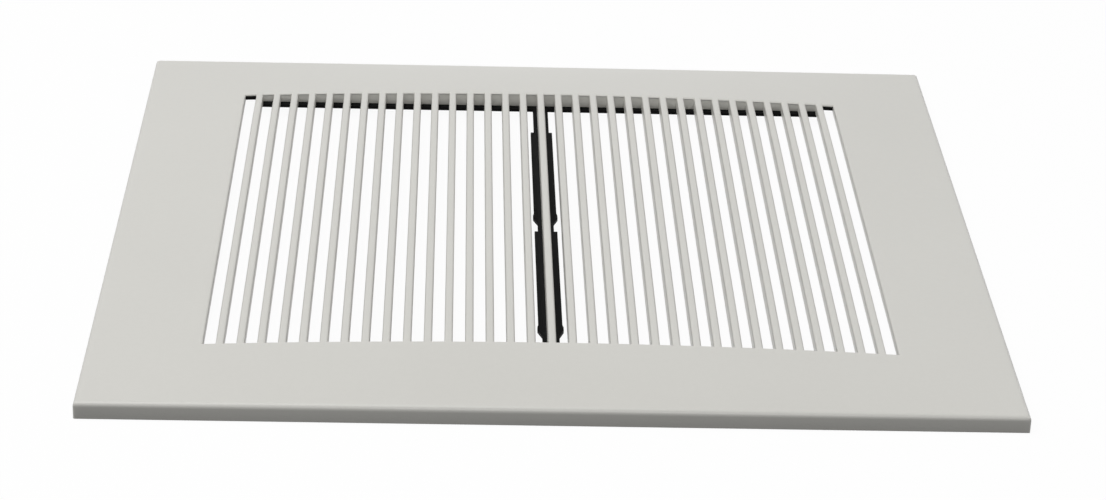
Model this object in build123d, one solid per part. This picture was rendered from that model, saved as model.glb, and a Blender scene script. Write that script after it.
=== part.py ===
from build123d import *
import os

# Exhaust fan grille, in millimetres. It lies face up on the rim of its panel.
# X runs along the long side, Y across the short side from front to back, Z up.
# The origin is under the middle of the face, on the plane that the rim stands on.

# Face panel: its face is crowned, and rises from the rim's top line to its middle.
FACE_LENGTH = 355.6
FACE_DEPTH = 330.2
RIM_HEIGHT = 6.7
CROWN_HEIGHT = 6.3
PANEL_WALL = 2.0
RIM_WALL = 3.0
EDGE_RADIUS = 1.8
CORNER_RADIUS = 1.0

# Slots and bars
SLOT_COUNT = 34
SLOT_WIDTH = 4.7625
BAR_WIDTH = 3.175
SLOT_LENGTH = 241.3
BAR_BOTTOM = 5.6
SLOT_DRAFT = 0.75
END_RIB_WALL = 2.5

# Foam gasket round the slot field
GASKET_WIDTH = 8.0
GASKET_THICKNESS = 2.2
GASKET_LIP = 0.8
GASKET_CLEARANCE = 0.2

# Stiffening ribs behind the border
RIB_SPACING = 38.1
LONG_SIDE_RIBS = 8
SHORT_SIDE_RIBS = 6
RIB_WALL = 1.5
RIB_BOTTOM = 2.4
RIB_CLEARANCE = 0.6

# Back brace, stamped from sheet
BRACE_SHEET = 1.5
BAND_OVERHANG = 3.0
BAND_CORNER_RADIUS = 3.0
NECK_WIDTH = 6.7
BODY_WIDTH = 9.5
KNOB_WIDTH = 10.3
REAR_NECK_LENGTH = 29.2
SEGMENT_COUNT = 2
SEGMENT_PITCH = 101.6
BODY_LENGTH = 84.0
KNOB_SLOPE_LENGTH = 2.0
KNOB_LENGTH = 6.0
TAPER_LENGTH = 4.0

# Screws that hold the brace, and the bosses that they bite into
SCREWS_PER_BAND = 2
SCREW_END_INSET = 28.6
SCREW_LENGTH = 4.4
SCREW_RADIUS = 1.45
SCREW_HEAD_RADIUS = 2.75
SCREW_CLEARANCE = 0.05
RECESS_WIDTH = 0.7
RECESS_SPAN = 2.8
RECESS_DEPTH = 0.8
BOSS_RADIUS = 3.5
BOSS_GAP = 1.0
BAND_MARGIN = 1.2
PILOT_EXTRA = 0.3

# Holes for the fan housing's fixings
MOUNT_SPACING_X = 152.4
MOUNT_HOLE_RADIUS = 2.1

# Worked out from the sizes above
SLOT_PITCH = SLOT_WIDTH + BAR_WIDTH
FIELD_LENGTH = SLOT_COUNT * SLOT_PITCH - BAR_WIDTH
BOX_LENGTH = FIELD_LENGTH - 2 * SLOT_WIDTH
BOX_DEPTH = SLOT_LENGTH + 2 * END_RIB_WALL
SIDE_WALLS_LENGTH = FIELD_LENGTH + 2 * END_RIB_WALL
PEAK = RIM_HEIGHT + CROWN_HEIGHT
GASKET_OUTER_X = SIDE_WALLS_LENGTH + 2 * (GASKET_CLEARANCE + GASKET_WIDTH)
GASKET_OUTER_Y = BOX_DEPTH + 2 * (GASKET_CLEARANCE + GASKET_WIDTH)
BRACE_BOTTOM = BAR_BOTTOM - BRACE_SHEET
FIXING_LINE_Y = GASKET_OUTER_Y / 2 + GASKET_CLEARANCE + BOSS_GAP + BOSS_RADIUS
BAND_OUTER_Y = FIXING_LINE_Y + BOSS_RADIUS + BAND_MARGIN
BAND_INNER_Y = SLOT_LENGTH / 2 - BAND_OVERHANG
SCREW_SPAN = BOX_LENGTH - 2 * SCREW_END_INSET
# A cut runs past the faces that it opens by this much.
OVERRUN = 1.0
# The face's surface falls from its middle with the square of the way along it, and with the
# sixth power of the way across it. These are its control heights, as shares of the rise.
CROWN_ALONG = (0, 2, 0)
CROWN_ACROSS = (0, 2, 0, 2, 0, 2, 0)


def slab(length, depth, bottom, top):
    """Flat rectangular body about the Z axis."""
    return Pos(0, 0, bottom) * extrude(Rectangle(length, depth), top - bottom)


def steps(size, count):
    """Evenly spaced places from one end of a size to the other, about its middle."""
    return [size * (number / (count - 1) - 0.5) for number in range(count)]


def under_face(drop):
    """Body of the whole plan below the face's crowned surface, that surface moved down by drop."""
    points = []
    for x, along in zip(steps(FACE_LENGTH, len(CROWN_ALONG)), CROWN_ALONG):
        row = zip(steps(FACE_DEPTH, len(CROWN_ACROSS)), CROWN_ACROSS)
        points.append([Vector(x, y, RIM_HEIGHT - drop + CROWN_HEIGHT * along * across) for y, across in row])
    return extrude(Face.make_bezier_surface(points), 2 * PEAK, dir=(0, 0, -1))


def panel_shell():
    """Open pan: the crowned face with its rounded edge and the rim that it stands on."""
    block = slab(2 * FACE_LENGTH, 2 * FACE_DEPTH, 0, PEAK + OVERRUN) & under_face(0)
    block = fillet(block.edges().filter_by(Axis.Z), CORNER_RADIUS)
    rim_line = block.edges().filter_by_position(Axis.Z, RIM_HEIGHT - EDGE_RADIUS, PEAK)
    block = fillet(rim_line, EDGE_RADIUS)
    hollow = slab(FACE_LENGTH - 2 * RIM_WALL, FACE_DEPTH - 2 * RIM_WALL, -OVERRUN, PEAK)
    return block - (hollow & under_face(PANEL_WALL))


def gasket_seat():
    """Shallow pocket in the back of the face that leaves a thin lip round the slot field."""
    length = GASKET_OUTER_X + 2 * GASKET_CLEARANCE
    depth = GASKET_OUTER_Y + 2 * GASKET_CLEARANCE
    return slab(length, depth, 0, PEAK) & under_face(GASKET_LIP)


def slot_cutters():
    """What the slots remove: prisms through the face, a little wider at the back."""
    prism = extrude(Rectangle(SLOT_WIDTH, SLOT_LENGTH), -2 * PEAK, taper=-SLOT_DRAFT)
    prism = Pos(0, 0, PEAK + OVERRUN) * prism
    return [place * prism for place in GridLocations(SLOT_PITCH, 1, SLOT_COUNT, 1)]


def border_ribs():
    """Ribs from the rim inwards, as far as the brace's bands or the gasket seat."""
    height = PEAK - RIB_BOTTOM
    inner_x = GASKET_OUTER_X / 2 + GASKET_CLEARANCE
    inner_y = BAND_OUTER_Y + RIB_CLEARANCE
    reach_x = (FACE_LENGTH - RIM_WALL) / 2 - inner_x
    reach_y = (FACE_DEPTH - RIM_WALL) / 2 - inner_y
    middle = RIB_BOTTOM + height / 2
    across = Box(RIB_WALL, reach_y, height)
    along = Box(reach_x, RIB_WALL, height)
    ribs = []
    for side in (-1, 1):
        for place in GridLocations(RIB_SPACING, 1, LONG_SIDE_RIBS, 1):
            ribs.append(Pos(0, side * (inner_y + reach_y / 2), middle) * place * across)
        for place in GridLocations(1, RIB_SPACING, 1, SHORT_SIDE_RIBS):
            ribs.append(Pos(side * (inner_x + reach_x / 2), 0, middle) * place * along)
    face = under_face(PANEL_WALL / 2)
    return [rib & face for rib in ribs]


def screw_places():
    """Where the screws' axes cross the underside of the brace."""
    pitch = SCREW_SPAN / (SCREWS_PER_BAND - 1)
    grid = GridLocations(pitch, 2 * FIXING_LINE_Y, SCREWS_PER_BAND, 2)
    return [Pos(0, 0, BRACE_BOTTOM) * place for place in grid]


def mount_places():
    """Where the axes of the fan housing's fixings cross the underside of the brace."""
    grid = GridLocations(MOUNT_SPACING_X, 2 * FIXING_LINE_Y, 2, 2)
    return [Pos(0, 0, BRACE_BOTTOM) * place for place in grid]


def rod(radius, bottom, top):
    """Upright cylinder over a place, from one height above it to another."""
    return Pos(0, 0, bottom) * extrude(Circle(radius), top - bottom)


def face_panel():
    inside_wall = under_face(PANEL_WALL / 2)
    panel = panel_shell() - gasket_seat()
    panel += slab(BOX_LENGTH, BOX_DEPTH, BAR_BOTTOM, PEAK) & under_face(GASKET_LIP / 2)
    panel += slab(SIDE_WALLS_LENGTH, SLOT_LENGTH, BAR_BOTTOM, PEAK) & under_face(GASKET_LIP / 2)
    panel += border_ribs()
    panel += [place * rod(BOSS_RADIUS, BRACE_SHEET, PEAK) & inside_wall for place in screw_places()]
    pilot = rod(SCREW_RADIUS + SCREW_CLEARANCE, 0, SCREW_LENGTH + PILOT_EXTRA)
    panel -= [place * pilot for place in screw_places()]
    panel -= slot_cutters()
    return panel


def foam_gasket():
    """Die-cut ring stuck under the face: it clears the rib box, and closes the box's open corners."""
    ring = slab(GASKET_OUTER_X, GASKET_OUTER_Y, 0, PEAK) & under_face(GASKET_LIP)
    ring -= under_face(GASKET_LIP + GASKET_THICKNESS)
    for length, depth in ((SIDE_WALLS_LENGTH, SLOT_LENGTH), (BOX_LENGTH, BOX_DEPTH)):
        ring -= slab(length + 2 * GASKET_CLEARANCE, depth + 2 * GASKET_CLEARANCE, 0, PEAK)
    return ring


def spine_segment():
    """Half-widths of one repeat of the spine, from its square rear shoulder forwards."""
    knob_start = BODY_LENGTH + KNOB_SLOPE_LENGTH
    knob_end = knob_start + KNOB_LENGTH
    right = [
        (BODY_WIDTH / 2, 0),
        (BODY_WIDTH / 2, -BODY_LENGTH),
        (KNOB_WIDTH / 2, -knob_start),
        (KNOB_WIDTH / 2, -knob_end),
        (NECK_WIDTH / 2, -knob_end - TAPER_LENGTH),
    ]
    left = [(-x, y) for x, y in reversed(right)]
    return make_face(Polyline(*right, *left, close=True))


def countersink():
    """The head's cone with the shank's clearance through the sheet, standing on its wide end."""
    cone = Cone(SCREW_HEAD_RADIUS, SCREW_RADIUS, SCREW_HEAD_RADIUS - SCREW_RADIUS)
    cone = Pos(0, 0, (SCREW_HEAD_RADIUS - SCREW_RADIUS) / 2) * cone
    return cone + rod(SCREW_RADIUS + SCREW_CLEARANCE, -OVERRUN, BRACE_SHEET + OVERRUN)


def back_brace():
    band_depth = BAND_OUTER_Y - BAND_INNER_Y
    band = fillet(Rectangle(BOX_LENGTH, band_depth).vertices(), BAND_CORNER_RADIUS)
    outline = Rectangle(NECK_WIDTH, 2 * BAND_INNER_Y + band_depth)
    for side in (-1, 1):
        outline += Pos(0, side * (BAND_INNER_Y + band_depth / 2)) * band
    for count in range(SEGMENT_COUNT):
        shoulder = SLOT_LENGTH / 2 - REAR_NECK_LENGTH - count * SEGMENT_PITCH
        outline += Pos(0, shoulder) * spine_segment()
    brace = Pos(0, 0, BRACE_BOTTOM) * extrude(outline, BRACE_SHEET)
    brace -= [place * countersink() for place in screw_places()]
    brace -= [place * rod(MOUNT_HOLE_RADIUS, -OVERRUN, BRACE_SHEET + OVERRUN) for place in mount_places()]
    return brace


def brace_screw():
    """Countersunk screw standing on its head, with a cross recess."""
    cone_height = SCREW_HEAD_RADIUS - SCREW_RADIUS
    profile = Polyline(
        (0, 0),
        (SCREW_HEAD_RADIUS, 0),
        (SCREW_RADIUS, cone_height),
        (SCREW_RADIUS, SCREW_LENGTH),
        (0, SCREW_LENGTH),
        close=True,
    )
    screw = revolve(Plane.XZ * make_face(profile), Axis.Z)
    for turn in (0, 90):
        screw -= Rot(0, 0, turn) * Box(RECESS_SPAN, RECESS_WIDTH, 2 * RECESS_DEPTH)
    return screw


def brace_screws():
    return Compound(children=[place * brace_screw() for place in screw_places()])


os.makedirs("parts", exist_ok=True)
export_step(face_panel(), "parts/face_panel.step")
export_step(foam_gasket(), "parts/foam_gasket.step")
export_step(back_brace(), "parts/back_brace.step")
export_step(brace_screws(), "parts/brace_screws.step")
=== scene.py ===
import math

import bmesh
import bpy
from mathutils import Matrix, Vector


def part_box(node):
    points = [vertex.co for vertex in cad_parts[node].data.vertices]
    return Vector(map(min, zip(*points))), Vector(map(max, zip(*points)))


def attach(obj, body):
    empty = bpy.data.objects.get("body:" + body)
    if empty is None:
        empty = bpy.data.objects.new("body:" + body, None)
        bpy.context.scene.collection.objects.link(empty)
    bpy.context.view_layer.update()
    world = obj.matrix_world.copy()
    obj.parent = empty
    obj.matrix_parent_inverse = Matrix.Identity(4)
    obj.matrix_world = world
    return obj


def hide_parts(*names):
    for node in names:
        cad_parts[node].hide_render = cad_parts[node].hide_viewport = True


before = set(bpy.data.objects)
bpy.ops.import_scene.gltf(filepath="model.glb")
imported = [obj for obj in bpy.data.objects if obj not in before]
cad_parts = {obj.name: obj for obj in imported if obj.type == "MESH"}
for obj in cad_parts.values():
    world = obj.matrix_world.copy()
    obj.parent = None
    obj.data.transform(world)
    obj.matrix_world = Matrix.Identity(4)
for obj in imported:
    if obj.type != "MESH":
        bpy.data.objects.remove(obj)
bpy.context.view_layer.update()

MM = 0.001

# Sizes of the face panel that its box doesn't give
SLOT_COUNT = 34
SLOT_WIDTH = 4.7625 * MM
BAR_WIDTH = 3.175 * MM
SLOT_LENGTH = 241.3 * MM
BAR_BOTTOM = 5.6 * MM
RIM_HEIGHT = 6.7 * MM
END_RIB_WALL = 2.5 * MM
PANEL_WALL = 2.0 * MM
RIM_WALL = 3.0 * MM
GASKET_LIP = 0.8 * MM
SEAT_CLEARANCE = 0.2 * MM

# Ribs behind the border
RIB_PITCH = 38.1 * MM
LONG_SIDE_RIBS = 8
SHORT_SIDE_RIBS = 6
RIB_WALL = 1.5 * MM
RIB_BOTTOM = 2.4 * MM
RIB_CLEARANCE = 0.6 * MM

# Bosses for the brace's screws
BOSS_RADIUS = 3.5 * MM
BOSS_SIDES = 48
SCREW_HEAD_RADIUS = 2.75 * MM

# How far a rib or a boss runs into the wall that carries it
ROOT = 1.0 * MM

# Cells of the panel's grid along a bar and across a border, so that it can follow the crown
BAR_CELLS = 11
BORDER_CELLS = 5

# Rounded edges of the panel, where its faces turn by more than an angle in radians
EDGE_RADIUS = 1.8 * MM
CORNER_RADIUS = 1.0 * MM
SLOT_EDGE_RADIUS = 1.0 * MM
HIDDEN_EDGE_RADIUS = 0.2 * MM
ROUNDING_STEPS = 6
ROUNDED_ANGLE = 1.2

# Broken edges of the other pieces
BRACE_EDGE = 0.12 * MM
GASKET_EDGE = 0.25 * MM
SCREW_EDGE = 0.05 * MM
BROKEN_EDGE_STEPS = 2
BROKEN_ANGLE = math.radians(60)

# Faces that meet at less than the first are made one, and at less than the second look smooth.
FLAT_ANGLE = math.radians(0.5)
SMOOTH_ANGLE = math.radians(40)

# Spine of the brace, and its knobs' and tapers' front ends in the solid and in the photograph
SPINE_SHOULDERS = (91.45 * MM, -10.15 * MM)
SOLID_KNOB_ENDS = (92.0 * MM, 96.0 * MM)
SEEN_KNOB_ENDS = (88.5 * MM, 93.5 * MM)
HALF_SPINE = 6.0 * MM

# Points closer than the first are one point, and a point within the second of a plane is on it.
WELD = 0.005 * MM
NEAR = 0.05 * MM

# Camera, with its angles in degrees
CAMERA_PLACE = (-0.0393, -1.1506, 0.5541)
CAMERA_TILT_DOWN = 26.018
CAMERA_TURN = 2.133
CAMERA_ROLL = -1.907
FOCAL_PIXELS = 3044
PHOTO_WIDTH = 1106
SENSOR_WIDTH = 36

# Floor, with white paper of these half-sizes under the slots and dark paper round it
FLOOR_REACH = 4.0
FLOOR_DROP = 0.05 * MM
WHITE_PAPER = (0.17, 0.155)
WHITE_PAPER_COLOUR = (0.9, 0.9, 0.9)
DARK_PAPER_COLOUR = (0.03, 0.03, 0.03)
SEEN_FLOOR_COLOUR = (0.95, 0.95, 0.95, 1.0)
SEEN_FLOOR_GLOW = 0.95

# Light: the even light's strength, and each lamp's place, width and power
WHITE = (1.0, 1.0, 1.0, 1.0)
EVEN_LIGHT = 0.24
LAMPS = {
    "overhead_softbox": ((-0.75, 0.1, 1.9), 1.8, 29.0),
    "front_softbox": ((0.1, -1.6, 1.5), 0.7, 6.6),
    "side_softbox": ((1.5, 0.1, 0.6), 0.8, 2.4),
}


class Number:
    """A number that runs through a node tree: arithmetic on it adds the Math nodes."""

    def __init__(self, graph, socket):
        self.graph = graph
        self.socket = socket

    def __add__(self, other):
        return self.graph.maths("ADD", self, other)

    def __radd__(self, other):
        return self.graph.maths("ADD", other, self)

    def __sub__(self, other):
        return self.graph.maths("SUBTRACT", self, other)

    def __rsub__(self, other):
        return self.graph.maths("SUBTRACT", other, self)

    def __mul__(self, other):
        return self.graph.maths("MULTIPLY", self, other)

    def __rmul__(self, other):
        return self.graph.maths("MULTIPLY", other, self)

    def __truediv__(self, other):
        return self.graph.maths("DIVIDE", self, other)

    def __mod__(self, other):
        return self.graph.maths("MODULO", self, other)

    def __gt__(self, other):
        return self.graph.maths("GREATER_THAN", self, other)

    def __lt__(self, other):
        return self.graph.maths("LESS_THAN", self, other)

    def __abs__(self):
        return self.graph.maths("ABSOLUTE", self)


class Graph:
    """Adds nodes to one tree."""

    def __init__(self, tree):
        self.tree = tree

    def node(self, kind, settings=None, sockets=None):
        """One node: its settings come first, then the values or links of its sockets."""
        made = self.tree.nodes.new(kind)
        for name, value in (settings or {}).items():
            if name == "stops":
                self.set_stops(made.color_ramp, value)
            else:
                setattr(made, name, value)
        for name, value in (sockets or {}).items():
            self.feed(made.inputs[name], value)
        return made

    def set_stops(self, ramp, stops):
        """A ramp starts with two stops, and gets one more for each further one."""
        while len(ramp.elements) < len(stops):
            ramp.elements.new(1.0)
        for element, (position, level) in zip(ramp.elements, stops):
            element.position = position
            element.color = (level, level, level, 1.0)

    def feed(self, socket, value):
        if isinstance(value, Number):
            self.tree.links.new(value.socket, socket)
        elif isinstance(value, bpy.types.NodeSocket):
            self.tree.links.new(value, socket)
        else:
            socket.default_value = value

    def maths(self, operation, *values):
        made = self.node("ShaderNodeMath", {"operation": operation}, dict(enumerate(values)))
        return Number(self, made.outputs[0])

    def parts(self, vector):
        """The three numbers of a vector."""
        made = self.node("ShaderNodeSeparateXYZ", sockets={0: vector})
        return [Number(self, output) for output in made.outputs]

    def vector(self, x, y, z):
        return self.node("ShaderNodeCombineXYZ", sockets={0: x, 1: y, 2: z}).outputs[0]

    def noise(self, place, scale, detail=2.0, roughness=0.5):
        sockets = {"Vector": place, "Scale": scale, "Detail": detail, "Roughness": roughness}
        made = self.node("ShaderNodeTexNoise", sockets=sockets)
        return Number(self, made.outputs[0])

    def cells(self, place, scale):
        made = self.node("ShaderNodeTexVoronoi", sockets={"Vector": place, "Scale": scale})
        return Number(self, made.outputs["Distance"])

    def ramp(self, number, stops):
        made = self.node("ShaderNodeValToRGB", {"stops": stops}, {"Fac": number})
        return Number(self, made.outputs["Color"])

    def within(self, number, top):
        """The number, kept from 0 to a top value."""
        return self.maths("MINIMUM", self.maths("MAXIMUM", number, 0), top)

    def tint(self, factor, first, second):
        """One colour turning into another."""
        sockets = {0: factor, 6: (*first, 1.0), 7: (*second, 1.0)}
        return self.node("ShaderNodeMix", {"data_type": "RGBA"}, sockets).outputs[2]

    def point(self):
        """Where a point of the shape is, in three numbers."""
        return self.parts(self.node("GeometryNodeInputPosition").outputs[0])

    def grid(self, sizes, counts):
        """A flat grid of so many points in x and y."""
        sockets = {
            "Size X": sizes[0],
            "Size Y": sizes[1],
            "Vertices X": counts[0],
            "Vertices Y": counts[1],
        }
        return self.node("GeometryNodeMeshGrid", sockets=sockets).outputs["Mesh"]

    def moved(self, shape, **sockets):
        """The shape with its points put in a Position, or moved by an Offset."""
        sockets["Geometry"] = shape
        return self.node("GeometryNodeSetPosition", sockets=sockets).outputs[0]

    def weld(self, shape):
        sockets = {"Geometry": shape, "Distance": WELD}
        return self.node("GeometryNodeMergeByDistance", sockets=sockets).outputs[0]

    def join(self, *shapes):
        made = self.node("GeometryNodeJoinGeometry")
        for shape in shapes:
            self.tree.links.new(shape, made.inputs[0])
        return made.outputs[0]

    def real(self, shape):
        """The shape with every copy in it made real geometry."""
        return self.node("GeometryNodeRealizeInstances", sockets={"Geometry": shape}).outputs[0]


def surface(name, **sockets):
    """A material with one Principled shader, whose plain values are set here."""
    material = bpy.data.materials.new(name)
    material.use_nodes = True
    graph = Graph(material.node_tree)
    shader = material.node_tree.nodes["Principled BSDF"]
    for label, value in sockets.items():
        shader.inputs[label.replace("_", " ")].default_value = value
    place = graph.node("ShaderNodeTexCoord").outputs["Object"]
    return material, graph, shader, place


def dress(graph, shader, colour, roughness, height, bump_depth):
    """Feeds a shader what changes over its surface."""
    sockets = {"Strength": 1.0, "Distance": bump_depth, "Height": height}
    bump = graph.node("ShaderNodeBump", sockets=sockets).outputs[0]
    graph.feed(shader.inputs["Base Color"], colour)
    graph.feed(shader.inputs["Roughness"], roughness)
    graph.feed(shader.inputs["Normal"], bump)


def moulded_plastic():
    """Warm light grey satin plastic with a fine spark-eroded grain."""
    material, graph, shader, place = surface("satin_moulded_plastic", IOR=1.5)
    drift = graph.noise(place, scale=9.0, detail=3.0)
    mottle = graph.noise(place, scale=420.0)
    grain = graph.noise(place, scale=1900.0, roughness=0.6)
    ripple = graph.noise(place, scale=60.0, detail=1.0)
    darker = (0.63, 0.622, 0.584)
    lighter = (0.69, 0.682, 0.643)
    dress(
        graph,
        shader,
        colour=graph.tint(drift * 0.7 + mottle * 0.3, darker, lighter),
        roughness=0.26 + drift * 0.08 + grain * 0.1,
        height=grain * 0.25 + ripple,
        bump_depth=0.03 * MM,
    )
    return material


def black_paint():
    """Black paint on stamped steel, with a faint orange peel."""
    material, graph, shader, place = surface("black_steel_paint", IOR=1.5, Specular_IOR_Level=0.04)
    peel = graph.noise(place, scale=700.0)
    drift = graph.noise(place, scale=25.0, detail=3.0)
    darker = (0.004, 0.004, 0.0042)
    lighter = (0.009, 0.009, 0.0092)
    dress(
        graph,
        shader,
        colour=graph.tint(drift, darker, lighter),
        roughness=0.5 + drift * 0.14,
        height=peel,
        bump_depth=0.04 * MM,
    )
    return material


def closed_cell_foam():
    """Matt black foam whose skin shows small open cells."""
    material, graph, shader, place = surface("closed_cell_foam", IOR=1.45, Specular_IOR_Level=0.15)
    cells = graph.cells(place, scale=1400.0)
    clumps = graph.noise(place, scale=300.0, detail=3.0)
    pits = graph.ramp(cells, [(0.15, 0.0), (0.55, 1.0)])
    darker = (0.004, 0.004, 0.004)
    lighter = (0.014, 0.014, 0.014)
    dress(
        graph,
        shader,
        colour=graph.tint(clumps, darker, lighter),
        roughness=0.86 + clumps * 0.12,
        height=pits + clumps * 0.5,
        bump_depth=0.18 * MM,
    )
    return material


def zinc_plate():
    """Bright zinc on the screws, slightly uneven."""
    material, graph, shader, place = surface("zinc_plate", Metallic=1.0)
    bloom = graph.noise(place, scale=900.0, detail=3.0)
    duller = (0.52, 0.52, 0.5)
    brighter = (0.66, 0.67, 0.69)
    dress(
        graph,
        shader,
        colour=graph.tint(bloom, duller, brighter),
        roughness=0.24 + bloom * 0.2,
        height=bloom,
        bump_depth=0.02 * MM,
    )
    return material


def shape_tree(name, sizes):
    """A geometry tree with one named input for each size, and what is needed to fill it."""
    tree = bpy.data.node_groups.new(name, "GeometryNodeTree")
    tree.interface.new_socket("Shape", in_out="OUTPUT", socket_type="NodeSocketGeometry")
    keys = {}
    for label, value in sizes.items():
        kind = "NodeSocketInt" if isinstance(value, int) else "NodeSocketFloat"
        keys[label] = tree.interface.new_socket(label, in_out="INPUT", socket_type=kind).identifier
    graph = Graph(tree)
    entry = graph.node("NodeGroupInput")
    size = {label: Number(graph, entry.outputs[label]) for label in sizes}
    return graph, size, keys


def close_tree(graph, shape, material):
    """Ends a tree with real geometry in one material."""
    smooth = graph.node("GeometryNodeSetShadeSmooth", sockets={"Geometry": shape}).outputs[0]
    sockets = {"Geometry": graph.real(smooth), "Material": material}
    done = graph.node("GeometryNodeSetMaterial", sockets=sockets).outputs[0]
    graph.node("NodeGroupOutput", sockets={"Shape": done})


class PanelLines:
    """How far the panel's lines lie from its middle, along the face in x and across it in y. The
    field ends with the last slot, its sides and the box are the outside of the walls round the
    slots, the seat holds the gasket, and the pan is the hollow inside the rim."""

    def __init__(self, size):
        self.pitch = size["Slot Width"] + size["Bar Width"]
        self.field_x = size["Slot Count"] * self.pitch / 2 - size["Bar Width"] / 2
        self.side_x = self.field_x + size["End Rib Wall"]
        self.box_x = self.field_x - size["Slot Width"]
        self.box_y = size["Slot Length"] / 2 + size["End Rib Wall"]
        self.seat_x = size["Seat X"]
        self.seat_y = size["Seat Y"]
        self.edge_x = size["Face Length"] / 2
        self.edge_y = size["Face Depth"] / 2
        self.pan_x = self.edge_x - size["Rim Wall"]
        self.pan_y = self.edge_y - size["Rim Wall"]


def past_box(graph, size, beyond, box, seat, pan):
    """How far outside the rib box a line of the grid lies, when the box's own line counts as 1.
    Each comparison falls half way between two lines."""
    over_seat = (beyond > 1.5) * (seat - box)
    over_border = graph.within(beyond - 2, BORDER_CELLS) * (pan - seat) / BORDER_CELLS
    over_rim = (beyond > BORDER_CELLS + 2.5) * size["Rim Wall"]
    return over_seat + over_border + over_rim


def slotted_sheet(graph, size, lines):
    """A flat grid with a line at every edge of the panel, and its slots taken out."""
    x, y = graph.point()[:2]

    # Outside the slots lie the lines of the rib box, the seat, the border and the rim.
    outer_lines = BORDER_CELLS + 3
    half_bar = BAR_CELLS / 2
    last_edge = 2 * size["Slot Count"] - 1
    columns = last_edge + 1 + 2 * outer_lines
    rows = BAR_CELLS + 1 + 2 * outer_lines
    grid = graph.grid((columns - 1, rows - 1), (columns, rows))

    # Which line or cell a point or face of the grid is, counted from the first slot's edge
    line = x + (columns - 1) / 2 - outer_lines
    in_slots = (line > 0) * (line < last_edge) * (abs(y) < half_bar)
    even = (graph.maths("FLOOR", line) % 2) < 0.5
    sockets = {"Geometry": grid, "Selection": in_slots * even}
    sheet = graph.node("GeometryNodeDeleteGeometry", {"domain": "FACE"}, sockets).outputs[0]

    # Where each line goes along the face. The quarter is there against rounding errors.
    near = graph.maths("ROUND", line)
    slot = graph.maths("FLOOR", near / 2 + 0.25)
    slot_edge = slot * lines.pitch + (near % 2) * size["Slot Width"] - lines.field_x
    beyond = graph.maths("MAXIMUM", 0 - near, near - last_edge)
    outside = beyond > 0.5
    reach = past_box(graph, size, beyond, lines.side_x, lines.seat_x, lines.pan_x) + lines.side_x
    place_x = outside * graph.maths("SIGN", x) * reach + (1 - outside) * slot_edge

    # Where each line goes across the face
    beyond = abs(y) - half_bar
    reach = graph.maths("MINIMUM", abs(y), half_bar) * size["Slot Length"] / BAR_CELLS
    reach = reach + (beyond > 0.5) * size["End Rib Wall"]
    reach = reach + past_box(graph, size, beyond, lines.box_y, lines.seat_y, lines.pan_y)
    place_y = graph.maths("SIGN", y) * reach
    return graph.moved(sheet, Position=graph.vector(place_x, place_y, size["Peak"]))


def rim_ends(graph, lines):
    """Whether a point is on the rim's outside, at its short and at its long sides."""
    x, y = graph.point()[:2]
    return abs(x) > lines.edge_x - NEAR, abs(y) > lines.edge_y - NEAR


def pushed_back(graph, size, lines, sheet):
    """The sheet and its back, pushed down to the lip, the wall, the bars' backs and the rim's."""
    x, y, z = graph.point()
    face_up = graph.parts(graph.node("GeometryNodeInputNormal").outputs[0])[2]
    in_sides = (abs(x) < lines.side_x) * (abs(y) < size["Slot Length"] / 2)
    in_box = graph.maths("MAXIMUM", (abs(x) < lines.box_x) * (abs(y) < lines.box_y), in_sides)
    in_seat = (abs(x) < lines.seat_x) * (abs(y) < lines.seat_y)
    in_rim = 1 - (abs(x) < lines.pan_x) * (abs(y) < lines.pan_y)
    down = face_up < -0.5
    wall_bottom = size["Peak"] - size["Wall"]
    # Which faces go down together, and how far
    terraces = [
        (down, size["Lip"]),
        (down * (1 - in_seat * (1 - in_box)), size["Wall"] - size["Lip"]),
        (down * in_box, wall_bottom - size["Bar Bottom"]),
        (down * in_rim, wall_bottom),
    ]
    back = graph.node("GeometryNodeFlipFaces", sockets={"Mesh": sheet}).outputs[0]
    for chosen, drop in terraces:
        sockets = {"Mesh": back, "Selection": chosen, "Offset": (0, 0, -1), "Offset Scale": drop}
        sockets["Individual"] = False
        back = graph.node("GeometryNodeExtrudeMesh", {"mode": "FACES"}, sockets).outputs["Mesh"]
    shell = graph.weld(graph.join(sheet, back))

    # The outside of the rim is one face from top to bottom: the terraces' lines slide down it.
    below = graph.maths("MAXIMUM", *rim_ends(graph, lines)) * (1 - (z > size["Peak"] - NEAR))
    return graph.weld(graph.moved(shell, Selection=below, Position=graph.vector(x, y, 0)))


def stand(graph, shape, spacing, counts, height):
    """Copies of a shape at the points of a grid, their middles at one height."""
    points = graph.moved(graph.grid(spacing, counts), Offset=graph.vector(0, 0, height))
    sockets = {"Points": points, "Instance": shape.outputs["Mesh"]}
    return graph.node("GeometryNodeInstanceOnPoints", sockets=sockets).outputs[0]


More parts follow.
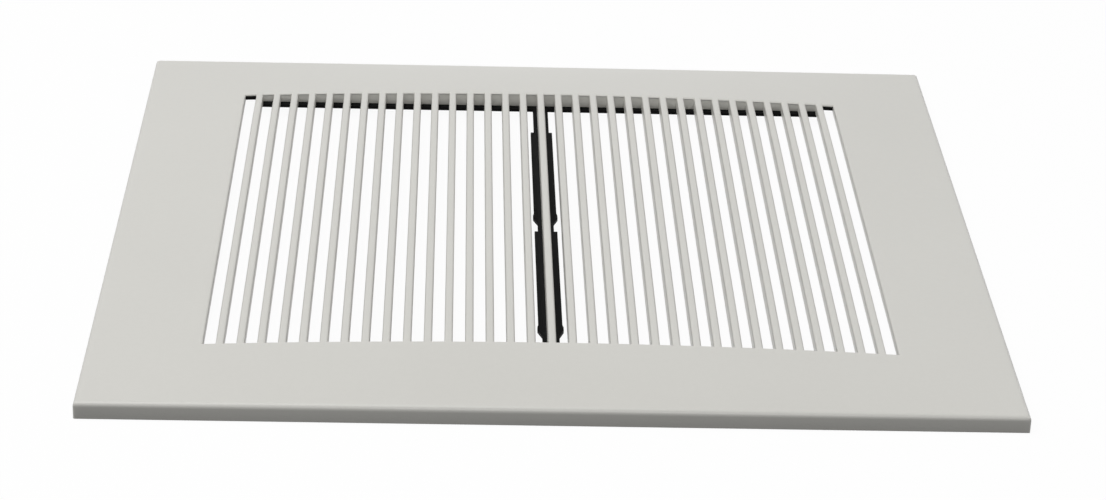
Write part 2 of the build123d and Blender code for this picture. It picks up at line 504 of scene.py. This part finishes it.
def ribs_and_bosses(graph, size, lines):
    """What stands behind the border, with its root in the wall and in the rim."""
    top = size["Peak"] - size["Wall"] + ROOT
    rib_height = top - size["Rib Bottom"]
    rib_middle = (top + size["Rib Bottom"]) / 2
    rib_start = size["Rib Start Y"]
    long_reach = lines.pan_y + ROOT - rib_start
    short_reach = lines.pan_x + ROOT - lines.seat_x
    long_side_rib = graph.vector(size["Rib Wall"], long_reach, rib_height)
    short_side_rib = graph.vector(short_reach, size["Rib Wall"], rib_height)
    long_side_ribs = stand(
        graph,
        graph.node("GeometryNodeMeshCube", sockets={"Size": long_side_rib}),
        (size["Rib Pitch"] * (LONG_SIDE_RIBS - 1), rib_start * 2 + long_reach),
        (LONG_SIDE_RIBS, 2),
        rib_middle,
    )
    short_side_ribs = stand(
        graph,
        graph.node("GeometryNodeMeshCube", sockets={"Size": short_side_rib}),
        (lines.seat_x * 2 + short_reach, size["Rib Pitch"] * (SHORT_SIDE_RIBS - 1)),
        (2, SHORT_SIDE_RIBS),
        rib_middle,
    )
    boss_height = top - size["Bar Bottom"]
    sockets = {"Vertices": BOSS_SIDES, "Radius": size["Boss Radius"], "Depth": boss_height}
    bosses = stand(
        graph,
        graph.node("GeometryNodeMeshCylinder", sockets=sockets),
        (size["Screw Spacing X"], size["Screw Spacing Y"]),
        (2, 2),
        size["Bar Bottom"] + boss_height / 2,
    )
    return long_side_ribs, short_side_ribs, bosses


def weigh_edges(graph, size, lines, panel):
    """Says how far each sharp edge is rounded, as a share of the face's outer edge radius."""
    at_end, at_side = rim_ends(graph, lines)
    on_edge = graph.maths("MAXIMUM", at_end, at_side)
    on_top = graph.point()[2] > size["Peak"] - NEAR
    upright = at_end * at_side * (1 - on_top)
    share = on_top * on_edge + on_top * (1 - on_edge) * (SLOT_EDGE_RADIUS / EDGE_RADIUS)
    share = share + upright * (CORNER_RADIUS / EDGE_RADIUS)
    share = share + (1 - on_top) * (1 - upright) * (HIDDEN_EDGE_RADIUS / EDGE_RADIUS)
    angle = Number(graph, graph.node("GeometryNodeInputMeshEdgeAngle").outputs["Unsigned Angle"])
    weight = (angle > ROUNDED_ANGLE) * share
    settings = {"data_type": "FLOAT", "domain": "EDGE"}
    sockets = {"Geometry": panel, "Name": "bevel_weight_edge", "Value": weight}
    return graph.node("GeometryNodeStoreNamedAttribute", settings, sockets).outputs[0]


def crown(graph, size, lines, panel):
    """Bends the face, by the square along it and the sixth power across it. The flat backs of the
    bars and of the rim stay."""
    x, y, z = graph.point()
    along = x / lines.edge_x
    across = y / lines.edge_y
    square = across * across
    rise = size["Peak"] - size["Rim Height"]
    fall = rise - rise * (1 - along * along) * (1 - square * square * square)
    follows = z > size["Bar Bottom"] + NEAR
    return graph.moved(panel, Selection=follows, Offset=graph.vector(0, 0, 0 - fall))


def panel_tree(sizes, material):
    """The face panel from its rule: all of it is made flat, and the crown comes last."""
    graph, size, keys = shape_tree("face_panel_rule", sizes)
    lines = PanelLines(size)
    shell = pushed_back(graph, size, lines, slotted_sheet(graph, size, lines))
    panel = graph.real(graph.join(shell, *ribs_and_bosses(graph, size, lines)))
    panel = crown(graph, size, lines, weigh_edges(graph, size, lines, panel))
    close_tree(graph, panel, material)
    return graph.tree, keys


def grow(name, tree, keys, sizes, bevel_width):
    """Runs a tree with its sizes, rounds the edges it weighted, and keeps the result as a mesh."""
    seed = bpy.data.objects.new(name + "_seed", bpy.data.meshes.new(name + "_seed"))
    bpy.context.scene.collection.objects.link(seed)
    rule = seed.modifiers.new("rule", "NODES")
    rule.node_group = tree
    for label, value in sizes.items():
        rule[keys[label]] = value
    rounding = seed.modifiers.new("rounding", "BEVEL")
    rounding.limit_method = "WEIGHT"
    rounding.width = bevel_width
    rounding.segments = ROUNDING_STEPS
    rounding.use_clamp_overlap = False
    rounding.miter_outer = "MITER_SHARP"
    evaluated = seed.evaluated_get(bpy.context.evaluated_depsgraph_get())
    mesh = bpy.data.meshes.new_from_object(evaluated)
    bpy.data.objects.remove(seed)
    return mesh


def show(name, mesh, slot, *nodes):
    """A finished piece in the place of CAD nodes."""
    mesh.name = name
    mesh.set_sharp_from_angle(angle=SMOOTH_ANGLE)
    piece = bpy.data.objects.new(name, mesh)
    bpy.context.scene.collection.objects.link(piece)
    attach(piece, "root")
    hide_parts(*nodes)


def shorten_knobs(work):
    """Moves the front ends of the spine's knobs and tapers, which are measured forwards from the
    shoulder behind each, to where the photograph shows them."""
    spine = [point for point in work.verts if abs(point.co.x) < HALF_SPINE]
    for shoulder in SPINE_SHOULDERS:
        for solid_end, seen_end in zip(SOLID_KNOB_ENDS, SEEN_KNOB_ENDS):
            for point in spine:
                if abs(point.co.y - shoulder + solid_end) < WELD:
                    point.co.y = shoulder - seen_end


def worked_copy(node, material, edge, mend=None):
    """A node's own shape with its points welded, its flat faces joined and its edges broken."""
    work = bmesh.new()
    work.from_mesh(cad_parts[node].data)
    bmesh.ops.remove_doubles(work, verts=work.verts, dist=WELD)
    bmesh.ops.dissolve_limit(work, angle_limit=FLAT_ANGLE, verts=work.verts, edges=work.edges)
    if mend:
        mend(work)
    sharp = [e for e in work.edges if e.is_manifold and e.calc_face_angle() > BROKEN_ANGLE]
    bmesh.ops.bevel(
        work,
        geom=sharp,
        offset=edge,
        segments=BROKEN_EDGE_STEPS,
        profile=0.5,
        affect="EDGES",
    )
    for face in work.faces:
        face.smooth = True
    mesh = bpy.data.meshes.new(node)
    work.to_mesh(mesh)
    work.free()
    mesh.materials.clear()
    mesh.materials.append(material)
    return mesh


def make_camera():
    """The camera where the photograph was taken from."""
    tilt = math.radians(CAMERA_TILT_DOWN)
    turn = math.radians(CAMERA_TURN)
    roll = math.radians(CAMERA_ROLL)
    ahead = math.cos(tilt)
    forward = Vector((math.sin(turn) * ahead, math.cos(turn) * ahead, -math.sin(tilt)))
    level = Vector((math.cos(turn), -math.sin(turn), 0))
    below = forward.cross(level)
    right = math.cos(roll) * level + math.sin(roll) * below
    up = math.sin(roll) * level - math.cos(roll) * below
    turned = Matrix((right, up, -forward)).transposed()
    lens = bpy.data.cameras.new("photo_camera")
    lens.sensor_width = SENSOR_WIDTH
    lens.lens = FOCAL_PIXELS / PHOTO_WIDTH * SENSOR_WIDTH
    camera = bpy.data.objects.new("photo_camera", lens)
    camera.matrix_world = Matrix.Translation(CAMERA_PLACE) @ turned.to_4x4()
    bpy.context.scene.collection.objects.link(camera)
    bpy.context.scene.camera = camera


def seen_directly(graph):
    """1 for rays that show the background: from the camera, in gloss, or through glass."""
    path = graph.node("ShaderNodeLightPath").outputs
    camera_or_gloss = graph.maths("MAXIMUM", path["Is Camera Ray"], path["Is Glossy Ray"])
    return graph.maths("MAXIMUM", camera_or_gloss, path["Is Transmission Ray"])


def make_floor():
    """Pale floor. To the camera it is white with a soft shadow. The light that it throws back at
    the object is that of dark paper, and of white paper under the slots."""
    mesh = bpy.data.meshes.new("floor")
    sides = [(-1, -1), (1, -1), (1, 1), (-1, 1)]
    corners = [(x * FLOOR_REACH, y * FLOOR_REACH, -FLOOR_DROP) for x, y in sides]
    mesh.from_pydata(corners, [], [(0, 1, 2, 3)])
    floor = bpy.data.objects.new("floor", mesh)
    bpy.context.scene.collection.objects.link(floor)
    material = bpy.data.materials.new("pale_floor")
    material.use_nodes = True
    graph = Graph(material.node_tree)
    graph.tree.nodes.clear()
    matt = graph.node("ShaderNodeBsdfDiffuse", sockets={"Color": SEEN_FLOOR_COLOUR}).outputs[0]
    glow = graph.node("ShaderNodeEmission", sockets={"Color": WHITE}).outputs[0]
    sockets = {0: SEEN_FLOOR_GLOW, 1: matt, 2: glow}
    seen = graph.node("ShaderNodeMixShader", sockets=sockets).outputs[0]
    x, y = graph.parts(graph.node("ShaderNodeTexCoord").outputs["Object"])[:2]
    under_slots = (abs(x) < WHITE_PAPER[0]) * (abs(y) < WHITE_PAPER[1])
    paper = graph.tint(under_slots, DARK_PAPER_COLOUR, WHITE_PAPER_COLOUR)
    unseen = graph.node("ShaderNodeBsdfDiffuse", sockets={"Color": paper}).outputs[0]
    sockets = {0: seen_directly(graph), 1: unseen, 2: seen}
    both = graph.node("ShaderNodeMixShader", sockets=sockets).outputs[0]
    graph.node("ShaderNodeOutputMaterial", sockets={"Surface": both})
    mesh.materials.append(material)


def make_world():
    """White behind the object, and a dim even light on it."""
    world = bpy.data.worlds.new("studio")
    bpy.context.scene.world = world
    world.use_nodes = True
    graph = Graph(world.node_tree)
    graph.tree.nodes.clear()
    sockets = {"Color": WHITE, "Strength": EVEN_LIGHT}
    even = graph.node("ShaderNodeBackground", sockets=sockets).outputs[0]
    white = graph.node("ShaderNodeBackground", sockets={"Color": WHITE}).outputs[0]
    sockets = {0: seen_directly(graph), 1: even, 2: white}
    both = graph.node("ShaderNodeMixShader", sockets=sockets).outputs[0]
    graph.node("ShaderNodeOutputWorld", sockets={"Surface": both})


def make_lamp(name, place, width, power):
    """A square soft light that points at the middle of the object."""
    data = bpy.data.lights.new(name, "AREA")
    data.size = width
    data.energy = power
    lamp = bpy.data.objects.new(name, data)
    turned = (-Vector(place)).to_track_quat("-Z", "Y").to_matrix().to_4x4()
    lamp.matrix_world = Matrix.Translation(place) @ turned
    bpy.context.scene.collection.objects.link(lamp)


panel_low, panel_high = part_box("face_panel")
gasket_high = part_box("foam_gasket")[1]
brace_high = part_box("back_brace")[1]
screw_low, screw_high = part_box("brace_screws")
panel_sizes = {
    "Face Length": panel_high.x - panel_low.x,
    "Face Depth": panel_high.y - panel_low.y,
    "Peak": panel_high.z,
    "Rim Height": RIM_HEIGHT,
    "Wall": PANEL_WALL,
    "Rim Wall": RIM_WALL,
    "Lip": GASKET_LIP,
    "Slot Count": SLOT_COUNT,
    "Slot Width": SLOT_WIDTH,
    "Bar Width": BAR_WIDTH,
    "Slot Length": SLOT_LENGTH,
    "Bar Bottom": BAR_BOTTOM,
    "End Rib Wall": END_RIB_WALL,
    "Seat X": gasket_high.x + SEAT_CLEARANCE,
    "Seat Y": gasket_high.y + SEAT_CLEARANCE,
    "Rib Pitch": RIB_PITCH,
    "Rib Wall": RIB_WALL,
    "Rib Bottom": RIB_BOTTOM,
    "Rib Start Y": brace_high.y + RIB_CLEARANCE,
    "Boss Radius": BOSS_RADIUS,
    "Screw Spacing X": screw_high.x - screw_low.x - 2 * SCREW_HEAD_RADIUS,
    "Screw Spacing Y": screw_high.y - screw_low.y - 2 * SCREW_HEAD_RADIUS,
}
panel_rule, panel_keys = panel_tree(panel_sizes, moulded_plastic())
panel_mesh = grow("face_panel_moulding", panel_rule, panel_keys, panel_sizes, EDGE_RADIUS)
show("face_panel_moulding", panel_mesh, "panel_plastic", "face_panel")
brace_mesh = worked_copy("back_brace", black_paint(), BRACE_EDGE, shorten_knobs)
show("back_brace_steel", brace_mesh, "black_steel", "back_brace")
gasket_mesh = worked_copy("foam_gasket", closed_cell_foam(), GASKET_EDGE)
show("gasket_ring", gasket_mesh, "gasket_foam", "foam_gasket")
screw_mesh = worked_copy("brace_screws", zinc_plate(), SCREW_EDGE)
show("brace_screw_set", screw_mesh, "screw_steel", "brace_screws")

bpy.context.scene.view_settings.view_transform = "Standard"
make_camera()
make_floor()
make_world()
for name, (place, width, power) in LAMPS.items():
    make_lamp(name, place, width, power)
